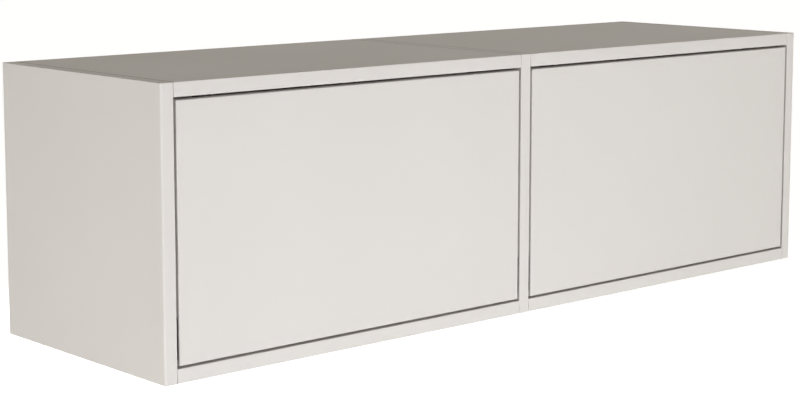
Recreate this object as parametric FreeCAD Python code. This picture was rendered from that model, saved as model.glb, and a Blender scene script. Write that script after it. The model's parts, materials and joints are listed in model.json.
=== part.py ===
# Floating media console: a wall-hung cabinet of two bays, each closed by a drop-down flap.
#
# Millimetres, +Z up. The front faces -Y and X runs along the width. The origin is the
# middle of the four wall fixings, on the plane of the wall, so the cabinet lies at y < 0.
#
# The pieces of the right bay are modelled and those of the left bay are mirrored from
# them. Inside the right bay a place is given as (u, f, h): u from the side's inner face
# towards the divider, f from the front plane inwards, and h up from the bay's floor.
import FreeCAD
import Part
import math
import os

from FreeCAD import Vector

# ---- Cabinet ---------------------------------------------------------------------------
WIDTH = 1200.0
DEPTH = 360.0
HEIGHT = 360.0
BOARD = 18.0  # thickness of the sides, divider, tops and bottoms
EDGE_ROUND = 1.0  # eased edges
HAIRLINE = 0.3  # relief of a level board's ends, which shows as a line at each upright
HAIRLINE_DEPTH = 2.0  # from the visible faces inwards
CORNER_ROUND = 2.5  # upright front corners of the cabinet
FIXING_DROP = 70.0  # from the cabinet's top down to the middle of the wall fixings

# ---- Back panels -----------------------------------------------------------------------
BACK = 5.0
WALL_SPACE = 20.0  # hollow between the back panels and the wall
GROOVE_HOLD = 7.5  # of the back panel in each groove
GROOVE_PLAY = 0.1  # beside the back panel's faces
GROOVE_END_PLAY = 0.5  # beyond the back panel's edges

# ---- Cam fittings and dowels between the boards ----------------------------------------
CAM_RADIUS = 7.5
CAM_DEPTH = 12.5
CAM_INSET = 24.0  # from the board's end to the middle of the cam
CAM_FROM_FRONT = 60.0
CAM_FROM_WALL = 60.0
CAM_SLOT = 2.0  # width of the cross for the driver
CAM_SLOT_RIM = 2.0  # from the ends of the cross to the cam's edge
CAM_SLOT_DEPTH = 3.0
BOLT_RADIUS = 3.0
DOWEL_RADIUS = 4.0
DOWEL_LENGTH = 30.0
DOWEL_STEP = 32.0  # from a cam to the dowel beside it
UPRIGHT_DRILLING = 8.0  # depth of bolts and dowels in an upright
HOLE_PLAY = 0.05  # round anything fixed in a hole

# ---- Cable outlets ---------------------------------------------------------------------
OUTLET_RISE = 80.0  # from the bay's floor to the middle of the outlet
GROMMET_BORE = 27.0
GROMMET_WALL = 2.5
GROMMET_RIM = 5.0  # of the flange beyond the sleeve
GROMMET_RIM_THICK = 2.0
GROMMET_SLEEVE = 12.0  # length behind the flange
GROMMET_PLAY = 0.3  # between the sleeve and the back panel

# ---- Flaps -----------------------------------------------------------------------------
FLAP_THICK = 18.0
FLAP_SIDE_GAP = 3.5
FLAP_TOP_GAP = 3.5
FLAP_BOTTOM_GAP = 3.0
FLAP_ROUND = 1.5
PIVOT_SETBACK = 7.5  # from the flap's face to its pivot line
PIVOT_RISE = 9.5  # from the flap's lower edge to its pivot line

# ---- Pivot hinges ----------------------------------------------------------------------
LEAF_THICK = 2.0
LEAF_RADIUS = 4.25  # half its width, and its round ends
LEAF_SPAN = 46.0  # between the centres of its round ends
LEAF_SCREW_RISE = 18.0  # from the pivot line up to the lower screw
LEAF_SCREW_STEP = 22.0  # from there up to the upper screw
CABINET_LEAF_SCREW = 8.5
FLAP_LEAF_SCREW = 16.0
PIN_RADIUS = 2.0
PIN_REACH = 7.0  # length of the pin inside the boss
PIN_END_PLAY = 0.5
BOSS_RADIUS = 3.5
BOSS_LENGTH = 9.0
MORTISE_PLAY = 0.1
WASHER_RADIUS = 3.5
RUNNING_PLAY = 0.05  # round a pin, in what turns on it
PASSING_PLAY = 0.3  # between flat faces that pass each other

# ---- Soft-down stays: four pivots at the corners of a parallelogram --------------------
STAY_REACH = 66.0  # from the flap's pivot line to the case's pivot, inwards
STAY_RISE = 46.5  # and upwards
EYE_REACH = 24.0  # from the flap's pivot line to the bracket's pin, inwards
EYE_RISE = 95.0  # and upwards
CASE_THICK = 14.0
CASE_RADIUS = 18.0
CASE_CHAMFER = 1.5
LUG_RADIUS = 8.0
LUG_STEP = 30.0  # from the case's pivot to each screw
LUG_THICK = 3.0
LUG_ROUND = 1.0  # edges of the case's foot
SHAFT_RADIUS = 5.0
SHAFT_FLAT = 3.4  # from the shaft's middle to each flat of its end
BAR_THICK = 3.0
BAR_ROUND = 0.5  # edges of the arm and the link
ARM_ROOT_RADIUS = 9.0
ARM_TIP_RADIUS = 7.0
LINK_RADIUS = 6.5
RIVET_RADIUS = 3.0
RIVET_HEAD_RADIUS = 5.0
RIVET_HEAD_THICK = 1.2
HEAD_ROUND = 0.8  # rims of the heads, the button and the clip
BUTTON_RADIUS = 6.5
BUTTON_THICK = 1.2
BRACKET_THICK = 2.5
BRACKET_WIDTH = 26.0
BRACKET_HEIGHT = 34.0
BRACKET_BEND = 2.0
BRACKET_CORNER = 3.0
EAR_RADIUS = 7.0
EAR_FOOT_RADIUS = 15.0
BRACKET_SCREW_STEP = 10.0  # from the bracket's middle to each screw
BRACKET_SCREW_PLACE = 15.0  # from the bracket's ear to its screws

# ---- Push latches ----------------------------------------------------------------------
LATCH_WIDTH = 22.0
LATCH_HEIGHT = 20.0
LATCH_LENGTH = 66.0
LATCH_ROUND = 4.0
LATCH_SETBACK = 6.0  # from the flap's inner face to the housing
LATCH_EAR = 11.0  # width of each ear
LATCH_EAR_LENGTH = 20.0
LATCH_EAR_THICK = 3.0
LATCH_EAR_CORNER = 3.0
LATCH_EAR_PLACE = 34.0  # from the housing's front to the middle of its ears
PLUNGER_RADIUS = 5.0
PLUNGER_DROP = 11.0  # from the ceiling to the plunger's middle
PLUNGER_LENGTH = 46.0
PLUNGER_CHAMFER = 0.5  # round its tip
SPRING_ROOM = 16.0  # behind the plunger
MAGNET_RADIUS = 3.8
MAGNET_THICK = 2.0
STRIKE_WIDTH = 32.0
STRIKE_HEIGHT = 12.0
STRIKE_THICK = 2.0
STRIKE_CORNER = 2.0
STRIKE_SCREW_STEP = 11.0

# ---- Flap stops ------------------------------------------------------------------------
STOP_WIDTH = 16.0
STOP_HEIGHT = 13.0
STOP_LENGTH = 16.0
STOP_ROUND = 3.0
STOP_INSET = 60.0  # from an upright to the middle of a stop
STOP_SCREW_SEAT = 4.0  # from the ceiling down to the screw's head
PAD_RADIUS = 4.0
PAD_THICK = 2.0
PAD_DROP = 8.0  # from the ceiling to the middle of a pad

# ---- Hangers and wall plates -----------------------------------------------------------
HANGER_THICK = 14.0
HANGER_LENGTH = 50.0
HANGER_HEIGHT = 58.0
HANGER_DROP = 2.0  # from the ceiling
HANGER_ROUND = 2.0
HANGER_SCREW_SEAT = 4.0  # from the side to the screw's head
HANGER_SCREW_PLACES = ((30.0, 12.0), (14.0, 34.0))  # from the case's back and foot
HOOK_THICK = 3.0
HOOK_HEIGHT = 10.0
HOOK_INSIDE = 34.0  # length inside the case
HOOK_TIP = 3.0
HOOK_TIP_DROP = 10.0
HOOK_PLAY = 0.3
ADJUSTER_HEAD_RADIUS = 4.0
ADJUSTER_HEAD_THICK = 1.5
ADJUSTER_LENGTH = 11.0
ADJUSTER_RISE = 16.0  # from the case's foot to the lower adjuster
WINDOW_PLAY = 2.0  # round the hook in the back panel
PLATE_THICK = 2.0
PLATE_WIDTH = 30.0
PLATE_INSET = 1.0  # from the side to the plate
PLATE_END = 10.0  # from a fixing to the plate's end
PLATE_CORNER = 2.0
LIP_OFFSET = 4.0  # hollow between the plate and its lip
LIP_HEIGHT = 12.0
FIXING_STEP = 32.0  # between the two holes of a plate
FIXING_RADIUS = 3.0

# ---- Screws ----------------------------------------------------------------------------
SCREW_RADIUS = 1.75
SCREW_LENGTH = 14.0
SCREW_HEAD_RADIUS = 3.5
SCREW_HEAD_THICK = 2.0
RECESS_RADIUS = 4.0  # of a counterbore round a screw's head

# ---- Planes and lines worked out from the sizes above ----------------------------------
FRONT_Y = -DEPTH
BACK_FRONT_Y = -WALL_SPACE - BACK
TOP_Z = FIXING_DROP
BASE_Z = TOP_Z - HEIGHT
CEILING_Z = TOP_Z - BOARD
FLOOR_Z = BASE_Z + BOARD
OUTER_X = WIDTH / 2
SIDE_X = OUTER_X - BOARD  # inner face of the right side
DIVIDER_X = BOARD / 2  # right face of the divider
BAY_WIDTH = SIDE_X - DIVIDER_X
BAY_HEIGHT = CEILING_Z - FLOOR_Z

# Points of the (f, h) plane: the corners of the stay's parallelogram with the flap shut.
PIVOT = (PIVOT_SETBACK, FLAP_BOTTOM_GAP + PIVOT_RISE)
CASE_PIVOT = (PIVOT[0] + STAY_REACH, PIVOT[1] + STAY_RISE)
EYE = (PIVOT[0] + EYE_REACH, PIVOT[1] + EYE_RISE)
ELBOW = (EYE[0] + STAY_REACH, EYE[1] + STAY_RISE)

# Depths of u at which the stay's flat pieces lie, one beside the other.
ARM_U = CASE_THICK + PASSING_PLAY
LINK_U = ARM_U + BAR_THICK + PASSING_PLAY
EAR_U = LINK_U + BAR_THICK + PASSING_PLAY

TINY = 1e-6
ALONG_X = Vector(1, 0, 0)
ALONG_Y = Vector(0, 1, 0)
ALONG_Z = Vector(0, 0, 1)


# ---- Shapes that many pieces use -------------------------------------------------------
def block(x0, x1, y0, y1, z0, z1):
    """A box between two corners."""
    return Part.makeBox(x1 - x0, y1 - y0, z1 - z0, Vector(x0, y0, z0))


def cylinder(start, direction, radius, length):
    """A round bar that runs from a point along a direction."""
    return Part.makeCylinder(radius, length, start, direction)


def prism(points, thickness):
    """A closed outline of points at one x, given a thickness along X."""
    return Part.Face(Part.makePolygon(points + points[:1])).extrude(ALONG_X * thickness)


def in_bay(u, f, h):
    """The point at (u, f, h) in the right bay."""
    return Vector(SIDE_X - u, FRONT_Y + f, FLOOR_Z + h)


def bay_block(u0, u1, f0, f1, h0, h1):
    """A box between two corners of the right bay."""
    low = in_bay(u1, f0, h0)
    high = in_bay(u0, f1, h1)
    return block(low.x, high.x, low.y, high.y, low.z, high.z)


def bay_pin(place, radius, u0, u1):
    """A round pin across the right bay, at an (f, h) point."""
    return cylinder(in_bay(u1, *place), ALONG_X, radius, u1 - u0)


def flat_bar(start, start_radius, end, end_radius, u0, u1):
    """A flat bar with round ends at two (f, h) points, between two depths of u."""
    first = in_bay(u1, *start)
    last = in_bay(u1, *end)
    heading = math.atan2(last.z - first.z, last.y - first.y)
    lean = math.acos((start_radius - end_radius) / (last - first).Length)

    def rim(centre, radius, angle):
        return centre + Vector(0, radius * math.cos(angle), radius * math.sin(angle))

    first_left = rim(first, start_radius, heading + lean)
    first_end = rim(first, start_radius, heading + math.pi)
    first_right = rim(first, start_radius, heading - lean)
    last_left = rim(last, end_radius, heading + lean)
    last_end = rim(last, end_radius, heading)
    last_right = rim(last, end_radius, heading - lean)
    outline = Part.Wire([
        Part.Arc(first_left, first_end, first_right).toShape(),
        Part.LineSegment(first_right, last_right).toShape(),
        Part.Arc(last_right, last_end, last_left).toShape(),
        Part.LineSegment(last_left, first_left).toShape(),
    ])
    return Part.Face(outline).extrude(ALONG_X * (u1 - u0))


def edges_on(shape, *planes):
    """The edges that lie in every given plane, each an axis and its place on it."""
    picked = []
    for edge in shape.Edges:
        points = [vertex.Point for vertex in edge.Vertexes]
        if all(abs(getattr(point, axis) - place) < TINY for point in points for axis, place in planes):
            picked.append(edge)
    return picked


def corners(shape, axis, places, other_axis, other_places):
    """The edges where the planes across one axis meet those across another."""
    return [
        edge
        for place in places
        for other_place in other_places
        for edge in edges_on(shape, (axis, place), (other_axis, other_place))
    ]


def opposite_end(shape):
    """A piece at the bay's side, moved to the divider's end of the bay."""
    return shape.mirror(Vector((SIDE_X + DIVIDER_X) / 2, 0, 0), ALONG_X)


def both_ends(shapes):
    """Pieces at the bay's side, with their like at the divider's end."""
    return shapes + [opposite_end(shape) for shape in shapes]


def left_bay(shape):
    """The left bay's copy of a piece of the right bay."""
    return shape.mirror(Vector(0, 0, 0), ALONG_X)


def both_bays(shapes):
    """Pieces of the right bay, with those of the left bay."""
    return shapes + [left_bay(shape) for shape in shapes]


# ---- Screws ----------------------------------------------------------------------------
class Screw:
    """A screw, given by where its head seats and the way that it is driven."""

    def __init__(self, seat, drive, length=SCREW_LENGTH, sunk=False):
        self.seat = seat
        self.drive = drive
        self.length = length
        self.sunk = sunk

    def shank(self, play=0.0):
        """Its shank, and the cone of a sunk head, larger all round by the play."""
        radius = SCREW_RADIUS + play
        bar = cylinder(self.seat, self.drive, radius, self.length + play)
        if not self.sunk:
            return bar
        depth = SCREW_HEAD_RADIUS - SCREW_RADIUS
        cone = Part.makeCone(SCREW_HEAD_RADIUS + play, radius, depth, self.seat, self.drive)
        return bar.fuse(cone).removeSplitter()

    def solid(self):
        """The whole screw, with a low head on its seat unless it is sunk."""
        if self.sunk:
            return self.shank()
        half = SCREW_HEAD_THICK / 2
        away = self.drive * -1
        middle = self.seat + away * half
        rim = cylinder(self.seat, away, SCREW_HEAD_RADIUS, half)
        crown = Part.makeCone(SCREW_HEAD_RADIUS, SCREW_HEAD_RADIUS - half, half, middle, away)
        return self.shank().fuse([rim, crown]).removeSplitter()

    def hole(self):
        """What it needs cut in the pieces that it passes through."""
        return self.shank(HOLE_PLAY)

    def recess(self, depth):
        """A counterbore of a given depth above its seat."""
        return cylinder(self.seat, self.drive * -1, RECESS_RADIUS, depth)


def solids(screws):
    """The solids of a list of screws."""
    return [screw.solid() for screw in screws]


def holes(screws):
    """The holes of a list of screws."""
    return [screw.hole() for screw in screws]


# ---- Cam fittings and dowels -----------------------------------------------------------
def cam_rows():
    """The y of each cam along a joint, with the y of the dowel beside it."""
    front = FRONT_Y + CAM_FROM_FRONT
    rear = -CAM_FROM_WALL
    return [(front, front + DOWEL_STEP), (rear, rear - DOWEL_STEP)]


def joint_levels():
    """For the top and the bottom board: its middle z, its inner z and the way into it."""
    return [
        (TOP_Z - BOARD / 2, CEILING_Z, ALONG_Z),
        (BASE_Z + BOARD / 2, FLOOR_Z, ALONG_Z * -1),
    ]


def cams(play=0.0):
    """The right bay's cams at the side, larger all round by the play."""
    pieces = []
    for _, face_z, into in joint_levels():
        for cam_y, _ in cam_rows():
            centre = Vector(SIDE_X - CAM_INSET, cam_y, face_z)
            pieces.append(cylinder(centre, into, CAM_RADIUS + play, CAM_DEPTH + play))
    return pieces


def slotted_cams():
    """The right bay's cams at the side, with the cross for their driver."""
    long = CAM_RADIUS - CAM_SLOT_RIM
    half = CAM_SLOT / 2
    pieces = []
    for cam, (centre, low_z) in zip(cams(), cam_crosses()):
        slots = [
            block(centre.x - a, centre.x + a, centre.y - b, centre.y + b, low_z, low_z + CAM_SLOT_DEPTH)
            for a, b in ((long, half), (half, long))
        ]
        pieces.append(cam.cut(slots))
    return pieces


def cam_crosses():
    """The middle and the lowest z of the cross on each cam, in the order of the cams."""
    crosses = []
    for _, face_z, into in joint_levels():
        low_z = min(face_z, face_z + into.z * CAM_SLOT_DEPTH)
        for cam_y, _ in cam_rows():
            crosses.append((Vector(SIDE_X - CAM_INSET, cam_y, face_z), low_z))
    return crosses


def bolt_bars(start_x, play=0.0):
    """A bar along each of the right bay's bolts, from one x into the side."""
    length = SIDE_X + UPRIGHT_DRILLING + play - start_x
    return [
        cylinder(Vector(start_x, cam_y, middle_z), ALONG_X, BOLT_RADIUS + play, length)
        for middle_z, _, _ in joint_levels()
        for cam_y, _ in cam_rows()
    ]


def cam_bolts():
    """The right bay's bolts, from the edge of each cam into the side."""
    return bolt_bars(SIDE_X - CAM_INSET + CAM_RADIUS + HOLE_PLAY)


def bolt_holes():
    """The holes of the bolts, each drilled through into the pocket of its cam."""
    return bolt_bars(SIDE_X - CAM_INSET, HOLE_PLAY)


def dowels(play=0.0):
    """The right bay's dowels at the side, larger all round by the play."""
    start_x = SIDE_X + UPRIGHT_DRILLING - DOWEL_LENGTH - play
    length = DOWEL_LENGTH + 2 * play
    return [
        cylinder(Vector(start_x, dowel_y, middle_z), ALONG_X, DOWEL_RADIUS + play, length)
        for middle_z, _, _ in joint_levels()
        for _, dowel_y in cam_rows()
    ]


def joint_holes():
    """What the right bay's cams, bolts and dowels cut from the boards."""
    return both_ends(cams(HOLE_PLAY) + bolt_holes() + dowels(HOLE_PLAY))


# ---- Boards ----------------------------------------------------------------------------
def upright(x0, x1, cuts):
    """An upright board between two x planes, full height, with its edges eased."""
    shape = block(x0, x1, FRONT_Y, 0, BASE_Z, TOP_Z)
    if x1 == OUTER_X:
        corner = edges_on(shape, ("x", x1), ("y", FRONT_Y))
        shape = shape.makeFillet(CORNER_ROUND, corner)
    eased = [edge for z in (BASE_Z, TOP_Z) for edge in edges_on(shape, ("z", z))]
    rear = [edge for z in (BASE_Z, TOP_Z) for edge in edges_on(shape, ("z", z), ("y", 0))]
    eased = [edge for edge in eased if not any(edge.isSame(other) for other in rear)]
    eased += edges_on(shape, ("x", x0), ("y", FRONT_Y))
    if x1 != OUTER_X:
        eased += edges_on(shape, ("x", x1), ("y", FRONT_Y))
    return shape.makeFillet(EDGE_ROUND, eased).cut(cuts)


def upright_cuts():
    """What the right bay's pieces cut from the uprights on its two sides."""
    leaf_cuts = [leaf(-LEAF_THICK, LEAF_THICK, MORTISE_PLAY)] + holes(cabinet_leaf_screws())
    return [back_groove()] + joint_holes() + both_ends(leaf_cuts)


def side():
    """The right side."""
    return upright(SIDE_X, OUTER_X, upright_cuts() + holes(case_screws() + hanger_screws()))


def divider():
    """The upright between the bays."""
    return upright(-DIVIDER_X, DIVIDER_X, both_bays(upright_cuts()))


def hairlines(z0, low_z):
    """What relieves the ends of a level board at its front, and at its outer face from one z."""
    strips = []
    for x in (DIVIDER_X, SIDE_X - HAIRLINE):
        rear_y = FRONT_Y + HAIRLINE_DEPTH
        strips.append(block(x, x + HAIRLINE, FRONT_Y, rear_y, z0, z0 + BOARD))
        strips.append(block(x, x + HAIRLINE, FRONT_Y, 0, low_z, low_z + HAIRLINE_DEPTH))
    return strips


def level_board(z0, face_z, cuts):
    """A level board of the right bay, from its lower z, eased round its outer face."""
    shape = block(DIVIDER_X, SIDE_X, FRONT_Y, 0, z0, z0 + BOARD)
    shape = shape.cut(hairlines(z0, min(face_z, z0 + BOARD - HAIRLINE_DEPTH)))
    eased = edges_on(shape, ("y", FRONT_Y))
    eased += edges_on(shape, ("z", face_z), ("x", DIVIDER_X + HAIRLINE))
    eased += edges_on(shape, ("z", face_z), ("x", SIDE_X - HAIRLINE))
    return shape.makeFillet(EDGE_ROUND, eased).cut(cuts)


def top():
    """The right bay's top."""
    fitting_holes = holes(latch_screws()) + both_ends(holes([stop_screw()]))
    return level_board(CEILING_Z, TOP_Z, [back_groove()] + joint_holes() + fitting_holes)


def bottom():
    """The right bay's bottom."""
    return level_board(BASE_Z, BASE_Z, [back_groove()] + joint_holes())


def back_sheet(play=0.0, end_play=0.0):
    """The right bay's back panel before it is cut, larger by the plays of its groove."""
    hold = GROOVE_HOLD + end_play
    return block(
        DIVIDER_X - hold, SIDE_X + hold,
        BACK_FRONT_Y - play, BACK_FRONT_Y + BACK + play,
        FLOOR_Z - hold, CEILING_Z + hold,
    )


def back_groove():
    """What the right bay's back panel cuts from the boards round it."""
    return back_sheet(GROOVE_PLAY, GROOVE_END_PLAY)


def outlet_middle(y):
    """The middle of the right bay's cable outlet, at one y."""
    return Vector((SIDE_X + DIVIDER_X) / 2, y, FLOOR_Z + OUTLET_RISE)


def back():
    """The right bay's back panel, with its cable outlet and the hook's window."""
    outlet_radius = GROMMET_BORE + GROMMET_WALL + GROMMET_PLAY
    outlet = cylinder(outlet_middle(BACK_FRONT_Y), ALONG_Y, outlet_radius, BACK)
    half = HOOK_THICK / 2 + WINDOW_PLAY
    window = block(
        hook_x() - half, hook_x() + half,
        BACK_FRONT_Y, BACK_FRONT_Y + BACK,
        lip_top_z() - WINDOW_PLAY, lip_top_z() + HOOK_HEIGHT + WINDOW_PLAY,
    )
    return back_sheet().cut([outlet, window])


def cable_grommet():
    """The lining of the right bay's cable outlet, its flange inside the bay."""
    front_y = BACK_FRONT_Y - GROMMET_RIM_THICK
    sleeve_radius = GROMMET_BORE + GROMMET_WALL
    length = GROMMET_RIM_THICK + GROMMET_SLEEVE
    flange = cylinder(
        outlet_middle(front_y), ALONG_Y, sleeve_radius + GROMMET_RIM, GROMMET_RIM_THICK
    )
    flange = flange.makeChamfer(GROMMET_RIM_THICK / 2, edges_on(flange, ("y", front_y)))
    sleeve = cylinder(outlet_middle(front_y), ALONG_Y, sleeve_radius, length)
    bore = cylinder(outlet_middle(front_y), ALONG_Y, GROMMET_BORE, length)
    return flange.fuse(sleeve).cut(bore).removeSplitter()


# ---- Flap ------------------------------------------------------------------------------
def flap():
    """The right flap, shut, with the seats of its hinges and the holes of its screws."""
    shape = bay_block(
        FLAP_SIDE_GAP, BAY_WIDTH - FLAP_SIDE_GAP,
        0, FLAP_THICK,
        FLAP_BOTTOM_GAP, BAY_HEIGHT - FLAP_TOP_GAP,
    )
    shape = shape.makeFillet(FLAP_ROUND, shape.Edges)
    leaf_end = FLAP_SIDE_GAP + LEAF_THICK
    mortise = leaf(0, leaf_end, MORTISE_PLAY)
    socket = bay_pin(PIVOT, BOSS_RADIUS + HOLE_PLAY, leaf_end, leaf_end + BOSS_LENGTH)
    seats = both_ends([mortise, socket] + holes(flap_leaf_screws()))
    return shape.cut(seats + holes(bracket_screws() + strike_screws()))


# ---- Pivot hinges ----------------------------------------------------------------------
def leaf(u0, u1, play=0.0):
    """The outline of a hinge leaf between two depths of u, larger by the play."""
    head = (PIVOT[0], PIVOT[1] + LEAF_SPAN)
    return flat_bar(PIVOT, LEAF_RADIUS + play, head, LEAF_RADIUS + play, u0, u1)


def leaf_screws(u, way, length):
    """The sunk screws of a leaf whose face is at one depth of u."""
    low = PIVOT[1] + LEAF_SCREW_RISE
    seats = [in_bay(u, PIVOT[0], h) for h in (low, low + LEAF_SCREW_STEP)]
    return [Screw(seat, ALONG_X * way, length, sunk=True) for seat in seats]


def cabinet_leaf_screws():
    """The screws from a cabinet leaf into its upright."""
    return leaf_screws(0, 1, CABINET_LEAF_SCREW)


def flap_leaf_screws():
    """The screws from a flap leaf into the flap's end."""
    return leaf_screws(FLAP_SIDE_GAP, -1, FLAP_LEAF_SCREW)


def cabinet_leaf():
    """A leaf let flush into an upright, with the pin that the flap turns on."""
    pin_end = FLAP_SIDE_GAP + LEAF_THICK + PIN_REACH
    pin = bay_pin(PIVOT, PIN_RADIUS, -LEAF_THICK / 2, pin_end)
    return leaf(-LEAF_THICK, 0).fuse(pin).cut(holes(cabinet_leaf_screws()))


def flap_leaf():
    """A leaf let flush into the flap's end, with the boss that the pin turns in."""
    leaf_end = FLAP_SIDE_GAP + LEAF_THICK
    boss = bay_pin(PIVOT, BOSS_RADIUS, leaf_end, leaf_end + BOSS_LENGTH)
    bore_end = leaf_end + PIN_REACH + PIN_END_PLAY
    bore = bay_pin(PIVOT, PIN_RADIUS + RUNNING_PLAY, FLAP_SIDE_GAP, bore_end)
    return leaf(FLAP_SIDE_GAP, leaf_end).fuse(boss).cut([bore] + holes(flap_leaf_screws()))


def hinge_washer():
    """The washer round the pin, in the gap between the two leaves."""
    thickness = FLAP_SIDE_GAP - PASSING_PLAY
    ring = bay_pin(PIVOT, WASHER_RADIUS, 0, thickness)
    return ring.cut(bay_pin(PIVOT, PIN_RADIUS + HOLE_PLAY, 0, thickness))


# ---- Soft-down stay --------------------------------------------------------------------
def case_screws():
    """The screws from the stay's case into the side."""
    seats = [in_bay(LUG_THICK, CASE_PIVOT[0], CASE_PIVOT[1] + way * LUG_STEP) for way in (-1, 1)]
    return [Screw(seat, ALONG_X) for seat in seats]


def stay_case():
    """The damper's round case, on a foot with a lug above and below."""
    low = (CASE_PIVOT[0], CASE_PIVOT[1] - LUG_STEP)
    high = (CASE_PIVOT[0], CASE_PIVOT[1] + LUG_STEP)
    foot = flat_bar(low, LUG_RADIUS, high, LUG_RADIUS, 0, LUG_THICK)
    foot = foot.makeFillet(LUG_ROUND, edges_on(foot, ("x", SIDE_X - LUG_THICK)))
    drum = bay_pin(CASE_PIVOT, CASE_RADIUS, 0, CASE_THICK)
    drum = drum.makeChamfer(CASE_CHAMFER, edges_on(drum, ("x", SIDE_X - CASE_THICK)))
    bore = bay_pin(CASE_PIVOT, SHAFT_RADIUS + RUNNING_PLAY, LUG_THICK, CASE_THICK)
    return foot.fuse(drum).cut([bore] + holes(case_screws()))


def flatted_end(play=0.0):
    """The shaft's end with two flats, across the arm's thickness, larger by the play."""
    end = bay_pin(CASE_PIVOT, SHAFT_RADIUS + play, ARM_U, ARM_U + BAR_THICK)
    flat = SHAFT_FLAT + play
    keep = bay_block(
        ARM_U, ARM_U + BAR_THICK,
        CASE_PIVOT[0] - flat, CASE_PIVOT[0] + flat,
        CASE_PIVOT[1] - SHAFT_RADIUS - BAR_THICK, CASE_PIVOT[1] + SHAFT_RADIUS + BAR_THICK,
    )
    return end.common(keep)


def stay_shaft():
    """The damper's shaft, which turns with the arm."""
    return bay_pin(CASE_PIVOT, SHAFT_RADIUS, LUG_THICK + PASSING_PLAY, ARM_U).fuse(flatted_end())


def eased_bar(start, start_radius, end, end_radius, u):
    """A bar of the stay from one depth of u, with its edges eased."""
    bar = flat_bar(start, start_radius, end, end_radius, u, u + BAR_THICK)
    faces = [edges_on(bar, ("x", SIDE_X - face_u)) for face_u in (u, u + BAR_THICK)]
    return bar.makeFillet(BAR_ROUND, faces[0] + faces[1])


def stay_arm():
    """The arm from the damper's shaft to the elbow."""
    bar = eased_bar(CASE_PIVOT, ARM_ROOT_RADIUS, ELBOW, ARM_TIP_RADIUS, ARM_U)
    rivet_hole = bay_pin(ELBOW, RIVET_RADIUS + HOLE_PLAY, ARM_U, ARM_U + BAR_THICK)
    return bar.cut([flatted_end(HOLE_PLAY), rivet_hole])


def rounded_head(place, radius, seat_u, thickness):
    """A head at an (f, h) point, its rim rounded, thick towards lower u if negative."""
    end_u = seat_u + thickness
    disc = bay_pin(place, radius, min(seat_u, end_u), max(seat_u, end_u))
    return disc.makeFillet(HEAD_ROUND, edges_on(disc, ("x", SIDE_X - end_u)))


def stay_rivets():
    """The button that holds the arm on its shaft, and the elbow's rivet."""
    button = rounded_head(CASE_PIVOT, BUTTON_RADIUS, ARM_U + BAR_THICK, BUTTON_THICK)
    rivet = bay_pin(ELBOW, RIVET_RADIUS, ARM_U, EAR_U)
    heads = [
        rounded_head(ELBOW, RIVET_HEAD_RADIUS, ARM_U, -RIVET_HEAD_THICK),
        rounded_head(ELBOW, RIVET_HEAD_RADIUS, EAR_U, RIVET_HEAD_THICK),
    ]
    return [button, rivet.fuse(heads).removeSplitter()]


def stay_link():
    """The link from the elbow to the flap's bracket."""
    bar = eased_bar(ELBOW, LINK_RADIUS, EYE, LINK_RADIUS, LINK_U)
    eyes = [
        bay_pin(place, RIVET_RADIUS + RUNNING_PLAY, LINK_U, LINK_U + BAR_THICK)
        for place in (ELBOW, EYE)
    ]
    return bar.cut(eyes)


def bracket_screws():
    """The screws from the stay's bracket into the flap."""
    u = EAR_U + BRACKET_SCREW_PLACE
    f = FLAP_THICK + BRACKET_THICK
    seats = [in_bay(u, f, EYE[1] + way * BRACKET_SCREW_STEP) for way in (-1, 1)]
    return [Screw(seat, ALONG_Y * -1) for seat in seats]


def stay_bracket():
    """The bent bracket on the flap's inner face, with the pin of the link's eye."""
    foot_f = FLAP_THICK + BRACKET_THICK
    low = EYE[1] - BRACKET_HEIGHT / 2
    high = EYE[1] + BRACKET_HEIGHT / 2
    foot = bay_block(EAR_U, EAR_U + BRACKET_WIDTH, FLAP_THICK, foot_f, low, high)
    free_x = SIDE_X - EAR_U - BRACKET_WIDTH
    free_corners = corners(foot, "x", (free_x,), "z", (FLOOR_Z + low, FLOOR_Z + high))
    foot = foot.makeFillet(BRACKET_CORNER, free_corners)
    ear = flat_bar(
        (FLAP_THICK, EYE[1]), EAR_FOOT_RADIUS, EYE, EAR_RADIUS, EAR_U, EAR_U + BRACKET_THICK
    )
    inside = bay_block(EAR_U, EAR_U + BRACKET_THICK, FLAP_THICK, EYE[0] + EAR_RADIUS, 0, BAY_HEIGHT)
    shape = foot.fuse(ear.common(inside)).removeSplitter()
    bend = edges_on(shape, ("x", SIDE_X - EAR_U - BRACKET_THICK), ("y", FRONT_Y + foot_f))
    shape = shape.makeFillet(BRACKET_BEND, bend)
    pin = bay_pin(EYE, RIVET_RADIUS, LINK_U - PASSING_PLAY, EAR_U + BRACKET_THICK)
    return shape.fuse(pin).cut(holes(bracket_screws()))


def stay_clip():
    """The clip on the end of the bracket's pin."""
    return rounded_head(EYE, RIVET_HEAD_RADIUS, LINK_U - PASSING_PLAY, -RIVET_HEAD_THICK)


# ---- Push latch ------------------------------------------------------------------------
MIDDLE_U = BAY_WIDTH / 2
LATCH_F = FLAP_THICK + LATCH_SETBACK
PLUNGER_F = FLAP_THICK + STRIKE_THICK + PASSING_PLAY
PLUNGER_H = BAY_HEIGHT - PLUNGER_DROP


def latch_screws():
    """The screws from the latch's ears into the top."""
    reach = (LATCH_WIDTH + LATCH_EAR) / 2
    f = LATCH_F + LATCH_EAR_PLACE
    h = BAY_HEIGHT - LATCH_EAR_THICK
    return [Screw(in_bay(MIDDLE_U + way * reach, f, h), ALONG_Z) for way in (-1, 1)]


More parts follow.
